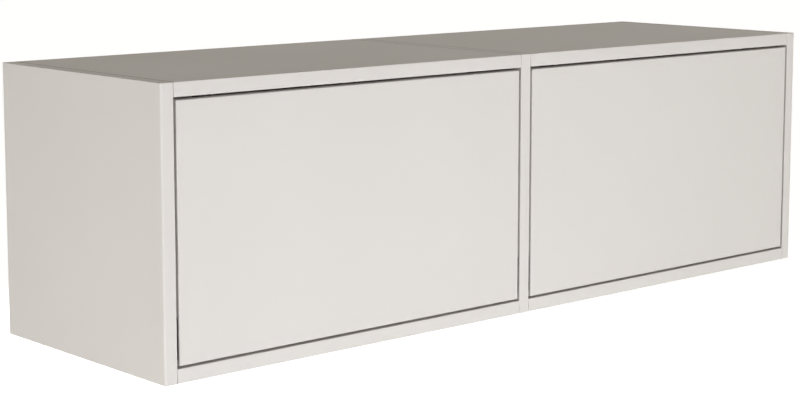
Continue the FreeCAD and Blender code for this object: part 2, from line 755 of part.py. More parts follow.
def latch_housing():
    """The latch's housing under the top, bored for its plunger and spring."""
    half = LATCH_WIDTH / 2
    low = BAY_HEIGHT - LATCH_HEIGHT
    body = bay_block(
        MIDDLE_U - half, MIDDLE_U + half, LATCH_F, LATCH_F + LATCH_LENGTH, low, BAY_HEIGHT
    )
    lower = []
    for way in (-1, 1):
        lower += edges_on(body, ("x", SIDE_X - MIDDLE_U + way * half), ("z", FLOOR_Z + low))
    body = body.makeFillet(LATCH_ROUND, lower)
    reach = half + LATCH_EAR
    ear_f = LATCH_F + LATCH_EAR_PLACE - LATCH_EAR_LENGTH / 2
    ears = bay_block(
        MIDDLE_U - reach, MIDDLE_U + reach,
        ear_f, ear_f + LATCH_EAR_LENGTH,
        BAY_HEIGHT - LATCH_EAR_THICK, BAY_HEIGHT,
    )
    ends = [SIDE_X - MIDDLE_U + way * reach for way in (-1, 1)]
    front_y = FRONT_Y + ear_f
    ear_corners = corners(ears, "x", ends, "y", (front_y, front_y + LATCH_EAR_LENGTH))
    ears = ears.makeFillet(LATCH_EAR_CORNER, ear_corners)
    bore_length = PLUNGER_F + PLUNGER_LENGTH + SPRING_ROOM - LATCH_F
    bore = cylinder(
        in_bay(MIDDLE_U, LATCH_F, PLUNGER_H), ALONG_Y, PLUNGER_RADIUS + RUNNING_PLAY, bore_length
    )
    return body.fuse(ears).removeSplitter().cut([bore] + holes(latch_screws()))


def latch_plunger():
    """The plunger, with a pocket in its tip for the magnet."""
    tip = in_bay(MIDDLE_U, PLUNGER_F, PLUNGER_H)
    body = cylinder(tip, ALONG_Y, PLUNGER_RADIUS, PLUNGER_LENGTH)
    body = body.makeChamfer(PLUNGER_CHAMFER, edges_on(body, ("y", tip.y)))
    return body.cut(cylinder(tip, ALONG_Y, MAGNET_RADIUS + HOLE_PLAY, MAGNET_THICK))


def latch_magnet():
    """The magnet in the plunger's tip."""
    return cylinder(in_bay(MIDDLE_U, PLUNGER_F, PLUNGER_H), ALONG_Y, MAGNET_RADIUS, MAGNET_THICK)


def strike_screws():
    """The sunk screws from the strike plate into the flap."""
    f = FLAP_THICK + STRIKE_THICK
    seats = [in_bay(MIDDLE_U + way * STRIKE_SCREW_STEP, f, PLUNGER_H) for way in (-1, 1)]
    return [Screw(seat, ALONG_Y * -1, sunk=True) for seat in seats]


def strike_plate():
    """The steel plate on the flap that the magnet holds."""
    half_width = STRIKE_WIDTH / 2
    half_height = STRIKE_HEIGHT / 2
    plate = bay_block(
        MIDDLE_U - half_width, MIDDLE_U + half_width,
        FLAP_THICK, FLAP_THICK + STRIKE_THICK,
        PLUNGER_H - half_height, PLUNGER_H + half_height,
    )
    middle = in_bay(MIDDLE_U, FLAP_THICK, PLUNGER_H)
    ends = (middle.x - half_width, middle.x + half_width)
    levels = (middle.z - half_height, middle.z + half_height)
    plate = plate.makeFillet(STRIKE_CORNER, corners(plate, "x", ends, "z", levels))
    return plate.cut(holes(strike_screws()))


# ---- Flap stops ------------------------------------------------------------------------
def stop_screw():
    """The screw from a stop into the top."""
    f = FLAP_THICK + PASSING_PLAY + PAD_THICK + STOP_LENGTH / 2
    return Screw(in_bay(STOP_INSET, f, BAY_HEIGHT - STOP_SCREW_SEAT), ALONG_Z)


def flap_stop():
    """The block under the top that carries a pad."""
    front = FLAP_THICK + PASSING_PLAY + PAD_THICK
    low = BAY_HEIGHT - STOP_HEIGHT
    shape = bay_block(
        STOP_INSET - STOP_WIDTH / 2, STOP_INSET + STOP_WIDTH / 2,
        front, front + STOP_LENGTH,
        low, BAY_HEIGHT,
    )
    rear = edges_on(shape, ("y", FRONT_Y + front + STOP_LENGTH), ("z", FLOOR_Z + low))
    shape = shape.makeFillet(STOP_ROUND, rear)
    screw = stop_screw()
    return shape.cut([screw.hole(), screw.recess(STOP_HEIGHT)])


def stop_pad():
    """The soft pad that the shut flap rests against."""
    start = in_bay(STOP_INSET, FLAP_THICK + PASSING_PLAY, BAY_HEIGHT - PAD_DROP)
    return cylinder(start, ALONG_Y, PAD_RADIUS, PAD_THICK)


# ---- Hanger and wall plate -------------------------------------------------------------
def hook_x():
    """The x of the hook's middle, in the middle of its case."""
    return SIDE_X - HANGER_THICK / 2


def lip_top_z():
    """The z of the wall plate's upper edge, which carries the hook."""
    return FIXING_STEP / 2 + PLATE_END + LIP_HEIGHT


def hanger_back_y():
    """The y of the plane that the hanger's case shares with the back panel."""
    return BACK_FRONT_Y


def hanger_foot_z():
    """The z of the lower end of the hanger's case."""
    return CEILING_Z - HANGER_DROP - HANGER_HEIGHT


def hanger_screws():
    """The screws from the hanger's case into the side, their heads in counterbores."""
    return [
        Screw(Vector(SIDE_X - HANGER_SCREW_SEAT, hanger_back_y() - back, hanger_foot_z() + rise), ALONG_X)
        for back, rise in HANGER_SCREW_PLACES
    ]


def adjuster_levels():
    """The z of the screws that set the hook's depth and height."""
    return [lip_top_z() + HOOK_HEIGHT / 2, hanger_foot_z() + ADJUSTER_RISE]


def hanger_adjusters(play=0.0):
    """The two screws in the front of the hanger's case, without heads if given a play."""
    front_y = hanger_back_y() - HANGER_LENGTH
    pieces = []
    for z in adjuster_levels():
        start = Vector(hook_x(), front_y, z)
        shank = cylinder(start, ALONG_Y, SCREW_RADIUS + play, ADJUSTER_LENGTH + play)
        head = cylinder(start, ALONG_Y * -1, ADJUSTER_HEAD_RADIUS, ADJUSTER_HEAD_THICK)
        pieces.append(shank if play else shank.fuse(head))
    return pieces


def hanger_case():
    """The hanger's case in the upper rear corner of the bay."""
    back_y = hanger_back_y()
    foot_z = hanger_foot_z()
    shape = block(
        SIDE_X - HANGER_THICK, SIDE_X,
        back_y - HANGER_LENGTH, back_y,
        foot_z, foot_z + HANGER_HEIGHT,
    )
    inner = edges_on(shape, ("x", SIDE_X - HANGER_THICK))
    shape = shape.makeFillet(HANGER_ROUND, inner)
    half = HOOK_THICK / 2 + HOOK_PLAY
    slot = block(
        hook_x() - half, hook_x() + half,
        back_y - HOOK_INSIDE - HOOK_PLAY, back_y,
        lip_top_z() - HOOK_PLAY, lip_top_z() + HOOK_HEIGHT + HOOK_PLAY,
    )
    screws = hanger_screws()
    recesses = [screw.recess(HANGER_THICK) for screw in screws]
    return shape.cut([slot] + holes(screws) + recesses + hanger_adjusters(HOLE_PLAY))


def hanger_hook():
    """The hook that reaches through the back panel and over the wall plate's lip."""
    x = hook_x() - HOOK_THICK / 2
    tip_y = -PLATE_THICK - (LIP_OFFSET - HOOK_TIP) / 2
    rest_z = lip_top_z()
    outline = [
        (tip_y, rest_z - HOOK_TIP_DROP),
        (tip_y, rest_z + HOOK_HEIGHT),
        (hanger_back_y() - HOOK_INSIDE, rest_z + HOOK_HEIGHT),
        (hanger_back_y() - HOOK_INSIDE, rest_z),
        (tip_y - HOOK_TIP, rest_z),
        (tip_y - HOOK_TIP, rest_z - HOOK_TIP_DROP),
    ]
    return prism([Vector(x, y, z) for y, z in outline], HOOK_THICK)


def wall_plate():
    """The plate that is fixed to the wall, with the lip that carries the hook."""
    x = SIDE_X - PLATE_INSET - PLATE_WIDTH
    end_z = FIXING_STEP / 2 + PLATE_END
    lip_y = -PLATE_THICK - LIP_OFFSET
    outline = [
        (0, -end_z),
        (0, end_z),
        (lip_y, end_z),
        (lip_y, lip_top_z()),
        (lip_y - PLATE_THICK, lip_top_z()),
        (lip_y - PLATE_THICK, end_z - PLATE_THICK),
        (-PLATE_THICK, end_z - PLATE_THICK),
        (-PLATE_THICK, -end_z),
    ]
    shape = prism([Vector(x, y, z) for y, z in outline], PLATE_WIDTH)
    ends = corners(shape, "x", (x, x + PLATE_WIDTH), "z", (-end_z, lip_top_z()))
    shape = shape.makeFillet(PLATE_CORNER, ends)
    fixings = [
        cylinder(
            Vector(x + PLATE_WIDTH / 2, -PLATE_THICK, way * FIXING_STEP / 2),
            ALONG_Y, FIXING_RADIUS, PLATE_THICK,
        )
        for way in (-1, 1)
    ]
    return shape.cut(fixings)


# ---- Nodes -----------------------------------------------------------------------------
def bay_nodes():
    """The pieces that each bay has one node of, by name, in the right bay."""
    return {
        "side": [side()],
        "top": [top()],
        "bottom": [bottom()],
        "back_panel": [back()],
        "cable_grommet": [cable_grommet()],
        "cabinet_leaves": both_ends([cabinet_leaf()]),
        "hinge_washers": both_ends([hinge_washer()]),
        "stay_case": [stay_case()],
        "latch_housing": [latch_housing()],
        "flap_stops": both_ends([flap_stop()]),
        "hanger_case": [hanger_case()],
        "hanger_hook": [hanger_hook()],
        "wall_plate": [wall_plate()],
        "flap": [flap()],
        "flap_leaves": both_ends([flap_leaf()]),
        "flap_screws": both_ends(solids(flap_leaf_screws()))
        + solids(bracket_screws() + strike_screws()),
        "stay_bracket": [stay_bracket()],
        "stay_clip": [stay_clip()],
        "strike_plate": [strike_plate()],
        "stay_shaft": [stay_shaft()],
        "stay_arm": [stay_arm()],
        "stay_rivets": stay_rivets(),
        "stay_link": [stay_link()],
        "latch_plunger": [latch_plunger()],
        "latch_magnet": [latch_magnet()],
    }


def shared_nodes():
    """The pieces that the whole cabinet has one node of, by name."""
    fitting_screws = solids(case_screws() + latch_screws() + hanger_screws())
    return {
        "divider": [divider()],
        "cam_housings": both_bays(both_ends(slotted_cams())),
        "cam_bolts": both_bays(both_ends(cam_bolts())),
        "dowels": both_bays(both_ends(dowels())),
        "hinge_screws": both_bays(both_ends(solids(cabinet_leaf_screws()))),
        "stop_pads": both_bays(both_ends([stop_pad()])),
        "hanger_adjusters": both_bays(hanger_adjusters()),
        "fitting_screws": both_bays(fitting_screws + both_ends(solids([stop_screw()]))),
    }


def export(name, shapes):
    """Write one node's solids to its STEP file."""
    for shape in shapes:
        if not shape.isValid() or shape.Volume <= 0:
            raise ValueError(f"{name} has a solid that is not valid")
    compound = shapes[0] if len(shapes) == 1 else Part.makeCompound(shapes)
    compound.exportStep(f"parts/{name}.step")


os.makedirs("parts", exist_ok=True)
for name, shapes in bay_nodes().items():
    export(f"{name}_right", shapes)
    export(f"{name}_left", [left_bay(shape) for shape in shapes])
for name, shapes in shared_nodes().items():
    export(name, shapes)
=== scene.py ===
import json
import math

import bmesh
import bpy
from bpy.props import (
    FloatProperty,
    FloatVectorProperty,
    IntProperty,
    PointerProperty,
)
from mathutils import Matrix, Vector


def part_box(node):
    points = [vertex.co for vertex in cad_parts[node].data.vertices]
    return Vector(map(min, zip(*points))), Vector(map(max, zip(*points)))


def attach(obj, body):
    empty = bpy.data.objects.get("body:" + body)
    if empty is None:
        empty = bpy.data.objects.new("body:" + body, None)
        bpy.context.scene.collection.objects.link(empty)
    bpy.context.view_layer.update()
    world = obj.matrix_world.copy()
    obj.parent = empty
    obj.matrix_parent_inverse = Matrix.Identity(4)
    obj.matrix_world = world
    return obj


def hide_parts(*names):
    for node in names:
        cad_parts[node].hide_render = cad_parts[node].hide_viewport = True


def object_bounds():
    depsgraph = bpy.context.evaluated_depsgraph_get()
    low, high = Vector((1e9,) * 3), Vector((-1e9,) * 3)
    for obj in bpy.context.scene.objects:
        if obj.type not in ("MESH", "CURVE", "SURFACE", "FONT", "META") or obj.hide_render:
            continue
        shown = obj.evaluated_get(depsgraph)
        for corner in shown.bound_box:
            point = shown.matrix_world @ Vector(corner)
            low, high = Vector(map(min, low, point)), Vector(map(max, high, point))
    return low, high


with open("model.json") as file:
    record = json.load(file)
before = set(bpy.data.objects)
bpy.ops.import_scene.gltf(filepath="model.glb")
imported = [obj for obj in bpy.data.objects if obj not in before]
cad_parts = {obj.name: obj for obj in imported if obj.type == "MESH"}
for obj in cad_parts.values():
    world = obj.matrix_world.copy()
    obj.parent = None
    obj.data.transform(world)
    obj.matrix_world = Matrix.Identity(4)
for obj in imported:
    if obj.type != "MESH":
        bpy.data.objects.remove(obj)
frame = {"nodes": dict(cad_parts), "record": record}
NODES = frame["nodes"]
SLOTS = {part["node"]: part["material_slot"] for part in frame["record"]["subparts"]}
PACKED_LOW, PACKED_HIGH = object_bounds()

bl_info = {
    "name": "Floating Media Console",
    "version": (1, 0, 0),
    "blender": (4, 5, 0),
    "location": "3D View > Sidebar > Console",
    "description": "Finishes, screws, pads and stage of a wall-hung media console",
    "category": "Object",
}


def tone(red, green, blue):
    """A colour given in the 0 to 255 steps of a screen, as the linear values of a shader."""
    steps = (red / 255, green / 255, blue / 255)
    return tuple(s / 12.92 if s <= 0.04045 else ((s + 0.055) / 1.055) ** 2.4 for s in steps)


# ---- Settings --------------------------------------------------------------------------
def colour(name, description, default):
    """A colour property."""
    return FloatVectorProperty(
        name=name, description=description, subtype="COLOR", size=3, min=0, max=1, default=default
    )


def length(name, description, default):
    """A length property, in metres."""
    return FloatProperty(
        name=name,
        description=description,
        subtype="DISTANCE",
        unit="LENGTH",
        precision=5,
        min=0,
        default=default,
    )


def lamp_power(name, description, default):
    """The power of a lamp, in watts."""
    return FloatProperty(name=name, description=description, unit="POWER", min=0, default=default)


def light_level(name, description, default):
    """The strength of a light that comes from far away or from all round."""
    return FloatProperty(name=name, description=description, min=0, default=default)


class ConsoleFinishes(bpy.types.PropertyGroup):
    """The colours and gloss of the console's finishes."""

    lacquer: colour("Lacquer", "Sprayed lacquer on boards and flaps", tone(222, 219, 215))
    lacquer_gloss: FloatProperty(
        name="Lacquer roughness",
        description="Roughness of the satin lacquer",
        subtype="FACTOR",
        min=0,
        max=1,
        default=0.6,
    )
    back: colour("Back panel", "Coated face of the thin back panels", tone(214, 212, 207))
    white_plastic: colour("White plastic", "Grommets and hanger cases", tone(219, 219, 216))
    grey_plastic: colour(
        "Grey plastic", "Latches, stops, washers and cases of the stays", tone(72, 74, 76)
    )
    zinc: colour(
        "Zinc plating", "Pressed steel plates, leaves, arms, links and hooks", tone(178, 181, 184)
    )
    nickel: colour(
        "Nickel plating", "Screws, rivets, clips, shafts and bolts", tone(180, 179, 176)
    )
    magnet: colour("Magnets", "Ground faces of the latches' magnets", tone(120, 121, 123))
    cast_zinc: colour("Cast zinc", "Cam housings", tone(150, 152, 155))
    beech: colour("Beech", "Dowels", tone(194, 153, 107))
    pad: colour("Pads", "Grey soft pads", tone(112, 114, 114))


class ConsoleScrews(bpy.types.PropertyGroup):
    """The sizes of the screws' heads."""

    pan_radius: length("Pan head", "Radius of a raised head", 0.0035)
    pan_height: length("Pan height", "Height of a raised head above its seat", 0.002)
    sunk_radius: length("Sunk head", "Radius of a sunk head", 0.0035)
    flat_radius: length("Adjuster head", "Radius of the flat head of an adjuster", 0.004)
    flat_height: length("Adjuster height", "Height of the flat head of an adjuster", 0.0015)
    shank_radius: length("Shank", "Radius of the shank", 0.00175)
    recess_length: length("Recess length", "Length of the cross recess", 0.0036)
    recess_width: length("Recess width", "Width of each arm of the cross recess", 0.0009)
    recess_depth: length("Recess depth", "Depth of the cross recess", 0.0011)
    seed: IntProperty(
        name="Seed", description="Angles at which the driven screws came to rest", default=7
    )


class ConsoleStage(bpy.types.PropertyGroup):
    """The floor, the lamps and the camera."""

    floor_drop: length("Floor", "Height of the cabinet above the floor", 0.45)
    sky: light_level("Room light", "Level of the light from all round", 0.12)
    front: lamp_power("Front lamp", "Power of the broad lamp in front", 34)
    side: lamp_power("Side lamp", "Power of the lamp at the left side", 27.5)
    low: lamp_power("Low lamp", "Power of the lamp low in front", 23.5)
    over: light_level("Top light", "Distant light across the top, in watts per square metre", 1.35)
    ceiling: light_level(
        "Ceiling light", "Warm light from straight above, in watts per square metre", 0.1
    )
    rear: lamp_power("Rear lamp", "Power of the lamp behind, which shows the back", 28)
    lens: FloatProperty(
        name="Focal length", description="Of the camera, in millimetres", min=1, default=84.6
    )


# ---- Node trees ------------------------------------------------------------------------
class Tree:
    """A node tree being built."""

    def __init__(self, tree):
        self.tree = tree

    def node(self, kind, inputs=None, **settings):
        """Add a node; inputs are values or sockets by the name or number of the input."""
        node = self.tree.nodes.new(kind)
        for name, value in settings.items():
            setattr(node, name, value)
        for key, value in (inputs or {}).items():
            self.feed(node.inputs[key], value)
        return node

    def feed(self, socket, value):
        """Link a socket to an output, or give it a value."""
        if isinstance(value, bpy.types.NodeSocket):
            self.tree.links.new(value, socket)
        else:
            socket.default_value = value

    def math(self, operation, first, second=0.5):
        """One sum of two numbers."""
        kind = "ShaderNodeMath"
        return self.node(kind, {0: first, 1: second}, operation=operation).outputs[0]

    def spread(self, value, source=(0.0, 1.0), target=(0.0, 1.0)):
        """A number carried from one range to another."""
        inputs = {"Value": value}
        inputs["From Min"], inputs["From Max"] = source
        inputs["To Min"], inputs["To Max"] = target
        return self.node("ShaderNodeMapRange", inputs).outputs["Result"]

    def mix_colours(self, share, first, second):
        """The colour that lies a share of the way from the first colour to the second."""
        # a Mix node's sockets for colours have the same names as those for numbers
        inputs = {0: share, 6: first, 7: second}
        return self.node("ShaderNodeMix", inputs, data_type="RGBA").outputs[2]


def group(name, kind, inputs, outputs):
    """A new node group with named sockets: its tree, its input node and its output node."""
    tree = bpy.data.node_groups.new(name, kind)
    for way, sockets in (("INPUT", inputs), ("OUTPUT", outputs)):
        for label, socket_kind, value in sockets:
            socket = tree.interface.new_socket(label, in_out=way, socket_type=socket_kind)
            if value is not None:
                socket.default_value = value
    build = Tree(tree)
    return build, build.node("NodeGroupInput"), build.node("NodeGroupOutput")


FLOAT = "NodeSocketFloat"
VECTOR = "NodeSocketVector"
GEOMETRY = "NodeSocketGeometry"


def clouding_group():
    """Slow, faint variation over a sprayed or moulded surface."""
    name = "Clouding"
    if name in bpy.data.node_groups:
        return bpy.data.node_groups[name]
    build, given, result = group(
        name,
        "ShaderNodeTree",
        [("Vector", VECTOR, None), ("Size", FLOAT, 0.2), ("Detail", FLOAT, 3.0)],
        [("Mask", FLOAT, None)],
    )
    scale = build.math("DIVIDE", 1.0, given.outputs["Size"])
    noise = build.node(
        "ShaderNodeTexNoise",
        {"Vector": given.outputs["Vector"], "Scale": scale, "Detail": given.outputs["Detail"]},
    )
    mask = build.spread(noise.outputs[0], source=(0.3, 0.7))
    build.feed(result.inputs["Mask"], mask)
    return build.tree


def grain_group():
    """The fine skin of lacquer or moulded plastic, as a height."""
    name = "Fine grain"
    if name in bpy.data.node_groups:
        return bpy.data.node_groups[name]
    build, given, result = group(
        name,
        "ShaderNodeTree",
        [("Vector", VECTOR, None), ("Size", FLOAT, 0.001), ("Softness", FLOAT, 0.5)],
        [("Height", FLOAT, None)],
    )
    scale = build.math("DIVIDE", 1.0, given.outputs["Size"])
    noise = build.node(
        "ShaderNodeTexNoise",
        {"Vector": given.outputs["Vector"], "Scale": scale, "Detail": 2.0},
    )
    cells = build.node(
        "ShaderNodeTexVoronoi",
        {"Vector": given.outputs["Vector"], "Scale": scale},
        feature="SMOOTH_F1",
    )
    mix = build.node(
        "ShaderNodeMix",
        {0: given.outputs["Softness"], 2: cells.outputs["Distance"], 3: noise.outputs[0]},
    )
    build.feed(result.inputs["Height"], mix.outputs[0])
    return build.tree


def streak_group():
    """Streaks along one direction, for rolled or brushed metal and for wood."""
    name = "Streaks"
    if name in bpy.data.node_groups:
        return bpy.data.node_groups[name]
    build, given, result = group(
        name,
        "ShaderNodeTree",
        [
            ("Vector", VECTOR, None),
            ("Across", VECTOR, (1.0, 1.0, 0.04)),
            ("Size", FLOAT, 0.001),
        ],
        [("Mask", FLOAT, None)],
    )
    scaled = build.node(
        "ShaderNodeVectorMath",
        {0: given.outputs["Vector"], 1: given.outputs["Across"]},
        operation="MULTIPLY",
    )
    scale = build.math("DIVIDE", 1.0, given.outputs["Size"])
    noise = build.node(
        "ShaderNodeTexNoise", {"Vector": scaled.outputs[0], "Scale": scale, "Detail": 4.0}
    )
    mask = build.spread(noise.outputs[0], source=(0.25, 0.75))
    build.feed(result.inputs["Mask"], mask)
    return build.tree


def joint_group():
    """The painted shade along the fine joints where level boards meet uprights, at the top and the
    base: the lacquer is made darker there to stand in for the shadow in each groove.
    """
    name = "Joint shade"
    if name in bpy.data.node_groups:
        return bpy.data.node_groups[name]
    build, given, result = group(
        name,
        "ShaderNodeTree",
        [
            ("Vector", VECTOR, None),
            ("Middle", VECTOR, None),
            ("Half Size", VECTOR, None),
            ("Inner Joint", FLOAT, None),
            ("Outer Joint", FLOAT, None),
            ("Width", FLOAT, 0.0013),
            ("Surface", FLOAT, 0.00003),
            ("Ends", FLOAT, 0.0015),
        ],
        [("Mask", FLOAT, None)],
    )
    vector_math = "ShaderNodeVectorMath"
    inputs = {0: given.outputs["Vector"], 1: given.outputs["Middle"]}
    offset = build.node(vector_math, inputs, operation="SUBTRACT")
    away = build.node(vector_math, {0: offset.outputs[0]}, operation="ABSOLUTE")
    inputs = {0: given.outputs["Half Size"], 1: away.outputs[0]}
    inward = build.node(vector_math, inputs, operation="SUBTRACT")
    from_middle = build.node("ShaderNodeSeparateXYZ", {0: away.outputs[0]})
    from_faces = build.node("ShaderNodeSeparateXYZ", {0: inward.outputs[0]})
    distances = [
        build.math(
            "ABSOLUTE", build.math("SUBTRACT", from_middle.outputs["X"], given.outputs[joint])
        )
        for joint in ("Inner Joint", "Outer Joint")
    ]
    nearest = build.math("MINIMUM", *distances)
    depth = from_faces.outputs["Z"]
    limits = (
        build.math("LESS_THAN", nearest, given.outputs["Width"]),
        build.math("LESS_THAN", depth, given.outputs["Width"]),
        build.math("GREATER_THAN", depth, given.outputs["Surface"]),
        build.math("GREATER_THAN", from_faces.outputs["Y"], given.outputs["Ends"]),
    )
    mask = limits[0]
    for limit in limits[1:]:
        mask = build.math("MULTIPLY", mask, limit)
    build.feed(result.inputs["Mask"], mask)
    return build.tree


# ---- Finishes --------------------------------------------------------------------------
def cleared(block):
    """The emptied node tree of a material or a world."""
    block.use_nodes = True
    block.node_tree.nodes.clear()
    return Tree(block.node_tree)


def blank_material():
    """A material with a plain shader, and the object coordinates that its pattern reads."""
    material = bpy.data.materials.new("finish")
    build = cleared(material)
    shader = build.node("ShaderNodeBsdfPrincipled")
    output = build.node("ShaderNodeOutputMaterial")
    build.feed(output.inputs["Surface"], shader.outputs[0])
    place = build.node("ShaderNodeTexCoord").outputs["Object"]
    return material, build, shader, place


def placed(build, tree, inputs):
    """A shader group placed in a material."""
    node = build.node("ShaderNodeGroup", node_tree=tree)
    for key, value in inputs.items():
        build.feed(node.inputs[key], value)
    return node.outputs[0]


def vary_colour(build, shader, base, mask, share):
    """Let the base colour move by a share of itself, darker where the mask is low."""
    darker = tuple(value * (1 - share) for value in base)
    mixed = build.mix_colours(mask, (*darker, 1.0), (*base, 1.0))
    build.feed(shader.inputs["Base Color"], mixed)


def shade_colour(build, shader, mask, share):
    """Take a share of the base colour away where the mask is 1, which paints shade."""
    plain = shader.inputs["Base Color"].links[0].from_socket
    shaded = build.mix_colours(build.math("MULTIPLY", mask, share), plain, (0.0, 0.0, 0.0, 1.0))
    build.feed(shader.inputs["Base Color"], shaded)


def vary_roughness(build, shader, mask, low, high):
    """Let the roughness move between two values with a mask."""
    build.feed(shader.inputs["Roughness"], build.spread(mask, target=(low, high)))


def raise_surface(build, shader, height, distance, strength):
    """A bump from a height, with its depth in metres."""
    bump = build.node(
        "ShaderNodeBump", {"Strength": strength, "Distance": distance, "Height": height}
    )
    build.feed(shader.inputs["Normal"], bump.outputs[0])


def lacquer_material(finishes):
    """Sprayed satin lacquer: faint clouding, the fine skin of the spray, and painted shade along
    the joints of the top and the base.
    """
    material, build, shader, place = blank_material()
    clouds = placed(build, clouding_group(), {"Vector": place, "Size": 0.16})
    skin = placed(build, grain_group(), {"Vector": place, "Size": 0.0014, "Softness": 0.8})
    vary_colour(build, shader, finishes.lacquer, clouds, share=0.02)
    # painted shade: the base colour is darkened along the joints of the top and the base, where it
    # stands in for the shadow in each groove
    painted_groove_shade = placed(
        build,
        joint_group(),
        {
            "Vector": place,
            "Middle": (PACKED_LOW + PACKED_HIGH) / 2,
            "Half Size": (PACKED_HIGH - PACKED_LOW) / 2,
            "Inner Joint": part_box("divider")[1].x,
            "Outer Joint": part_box("side_right")[0].x,
        },
    )
    shade_colour(build, shader, painted_groove_shade, share=0.65)
    rough = finishes.lacquer_gloss
    vary_roughness(build, shader, clouds, low=rough - 0.03, high=rough + 0.03)
    shader.inputs["Specular IOR Level"].default_value = 0.2
    raise_surface(build, shader, skin, distance=0.00004, strength=0.3)
    return material


def back_material(finishes):
    """The coated face of thin fibreboard, matt, with the mesh of its press."""
    material, build, shader, place = blank_material()
    clouds = placed(build, clouding_group(), {"Vector": place, "Size": 0.05})
    press = placed(build, grain_group(), {"Vector": place, "Size": 0.0009, "Softness": 0.3})
    vary_colour(build, shader, finishes.back, clouds, share=0.04)
    vary_roughness(build, shader, clouds, low=0.62, high=0.72)
    raise_surface(build, shader, press, distance=0.00008, strength=0.5)
    return material


def plastic_material(base, rough):
    """Moulded plastic with an eroded texture."""
    material, build, shader, place = blank_material()
    clouds = placed(build, clouding_group(), {"Vector": place, "Size": 0.02})
    erosion = placed(build, grain_group(), {"Vector": place, "Size": 0.0006, "Softness": 0.4})
    vary_colour(build, shader, base, clouds, share=0.05)
    vary_roughness(build, shader, erosion, low=rough - 0.06, high=rough + 0.06)
    raise_surface(build, shader, erosion, distance=0.00004, strength=0.5)
    return material


def metal_material(base, rough, across, streak_size, depth):
    """Plated or rolled metal, its streaks long in the direction that across makes small."""
    material, build, shader, place = blank_material()
    streaks = placed(
        build, streak_group(), {"Vector": place, "Across": across, "Size": streak_size}
    )
    vary_colour(build, shader, base, streaks, share=0.12)
    vary_roughness(build, shader, streaks, low=rough - 0.06, high=rough + 0.08)
    raise_surface(build, shader, streaks, distance=depth, strength=0.4)
    shader.inputs["Metallic"].default_value = 1.0
    return material


def cast_material(finishes):
    """Die-cast zinc with its faint flow marks and blasted skin."""
    material, build, shader, place = blank_material()
    clouds = placed(build, clouding_group(), {"Vector": place, "Size": 0.006})
    skin = placed(build, grain_group(), {"Vector": place, "Size": 0.0005, "Softness": 0.5})
    vary_colour(build, shader, finishes.cast_zinc, clouds, share=0.15)
    vary_roughness(build, shader, skin, low=0.38, high=0.55)
    raise_surface(build, shader, skin, distance=0.00004, strength=0.6)
    shader.inputs["Metallic"].default_value = 1.0
    return material


def beech_material(finishes):
    """Raw beech, its grain along the dowels."""
    material, build, shader, place = blank_material()
    fibres = placed(
        build, streak_group(), {"Vector": place, "Across": (0.05, 1.0, 1.0), "Size": 0.0008}
    )
    vary_colour(build, shader, finishes.beech, fibres, share=0.25)
    vary_roughness(build, shader, fibres, low=0.7, high=0.85)
    raise_surface(build, shader, fibres, distance=0.00008, strength=0.6)
    return material


def pad_material(finishes):
    """Soft grey rubber, a little cloudy."""
    material, build, shader, place = blank_material()
    clouds = placed(build, clouding_group(), {"Vector": place, "Size": 0.003})
    vary_colour(build, shader, finishes.pad, clouds, share=0.1)
    vary_roughness(build, shader, clouds, low=0.28, high=0.4)
    shader.inputs["Subsurface Weight"].default_value = 0.3
    shader.inputs["Subsurface Radius"].default_value = (0.002, 0.002, 0.002)
    return material


def finish_of(finish):
    """The material of a finish, which is one of the record's slots or one of its own."""
    finishes = bpy.context.scene.console_finishes
    up_and_down, from_side_to_side = (1.0, 1.0, 0.06), (0.1, 1.0, 1.0)
    makers = {
        "lacquered_board": lambda: lacquer_material(finishes),
        "back_board": lambda: back_material(finishes),
        "white_plastic": lambda: plastic_material(finishes.white_plastic, rough=0.45),
        "grey_plastic": lambda: plastic_material(finishes.grey_plastic, rough=0.42),
        "zinc_steel": lambda: metal_material(
            finishes.zinc, rough=0.36, across=up_and_down, streak_size=0.0015, depth=0.00002
        ),
        "bright_steel": lambda: metal_material(
            finishes.nickel, rough=0.32, across=from_side_to_side, streak_size=0.001, depth=0.00001
        ),
        "ground_magnet": lambda: metal_material(
            finishes.magnet, rough=0.5, across=up_and_down, streak_size=0.0008, depth=0.00001
        ),
        "cast_zinc": lambda: cast_material(finishes),
        "beech": lambda: beech_material(finishes),
        "rubber_pad": lambda: pad_material(finishes),
    }
    name = "finish_" + finish
    if name not in bpy.data.materials:
        makers[finish]().name = name
    return bpy.data.materials[name]


def dress(*stems, finish=None):
    """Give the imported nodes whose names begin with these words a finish, or else their slot's."""
    found = [name for name in NODES if name.startswith(stems)]
    if not found:
        raise ValueError(f"no node begins with {stems}")
    for name in found:
        mesh = NODES[name].data
        mesh.materials.clear()
        mesh.materials.append(finish_of(finish or SLOTS[name]))


# ---- Pieces made over the frame --------------------------------------------------------
SAME_POINT = 1e-6  # points closer than this, in metres, are one point
SAME_LEVEL = 1e-5  # points closer than this along an axis are at the same level


def low_corner(points):
    """The least x, y and z of some points, to a hundredth of a millimetre."""
    return tuple(round(min(point[i] for point in points), 5) for i in range(3))


def solids_in(node):
    """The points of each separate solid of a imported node, in the order of their low corners."""
    merged = bmesh.new()
    merged.from_mesh(NODES[node].data)
    bmesh.ops.remove_doubles(merged, verts=merged.verts, dist=SAME_POINT)
    left = set(merged.verts)
    groups = []
    while left:
        reached = [left.pop()]
        for vertex in reached:
            for edge in vertex.link_edges:
                other = edge.other_vert(vertex)
                if other in left:
                    left.remove(other)
                    reached.append(other)
        groups.append([vertex.co.copy() for vertex in reached])
    merged.free()
    # a set gives up its vertices in another order on each run, and sorting undoes that
    return sorted(groups, key=low_corner)


